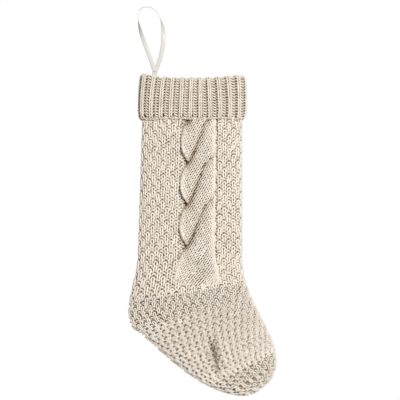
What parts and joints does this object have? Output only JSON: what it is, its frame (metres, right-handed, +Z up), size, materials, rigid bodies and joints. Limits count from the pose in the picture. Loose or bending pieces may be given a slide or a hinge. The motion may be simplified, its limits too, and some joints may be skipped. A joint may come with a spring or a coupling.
{
  "type": "hanging stocking",
  "caption": "Knitted stocking with a folded ribbed cuff, a crossing cable down the front and a turned toe, hung from a hook by a loop of satin ribbon.",
  "frame": {"origin": "inside top of the ribbon loop, where the hook bears", "axes": "+X across the stocking towards the toe, +Y towards the back, +Z up; the cabled front faces -Y"},
  "size_m": [0.2082, 0.0558, 0.5514],
  "materials": {
    "wool": "matt knitted cream wool yarn",
    "ribbon": "satin",
    "thread": "matt"
  },
  "bodies": {
    "hanger": {"hanger_loop": "ribbon"},
    "stocking": {"ribbon_tails": "ribbon", "tack_stitches": "thread", "cuff_band": "wool", "cuff_edge": "wool", "cuff_join": "wool", "front_panel": "wool", "back_panel": "wool", "cable_strand_a": "wool", "cable_strand_b": "wool", "toe_cap": "wool", "toe_seam": "wool", "heel_seam": "wool", "instep_seam": "wool"}
  },
  "joints": [
    {"name": "swing", "type": "hinge", "parent": "hanger", "child": "stocking", "pos_m": [0.011, 0, -0.092], "axis": [1, 0, 0], "range_deg": [-80, 80]}
  ]
}
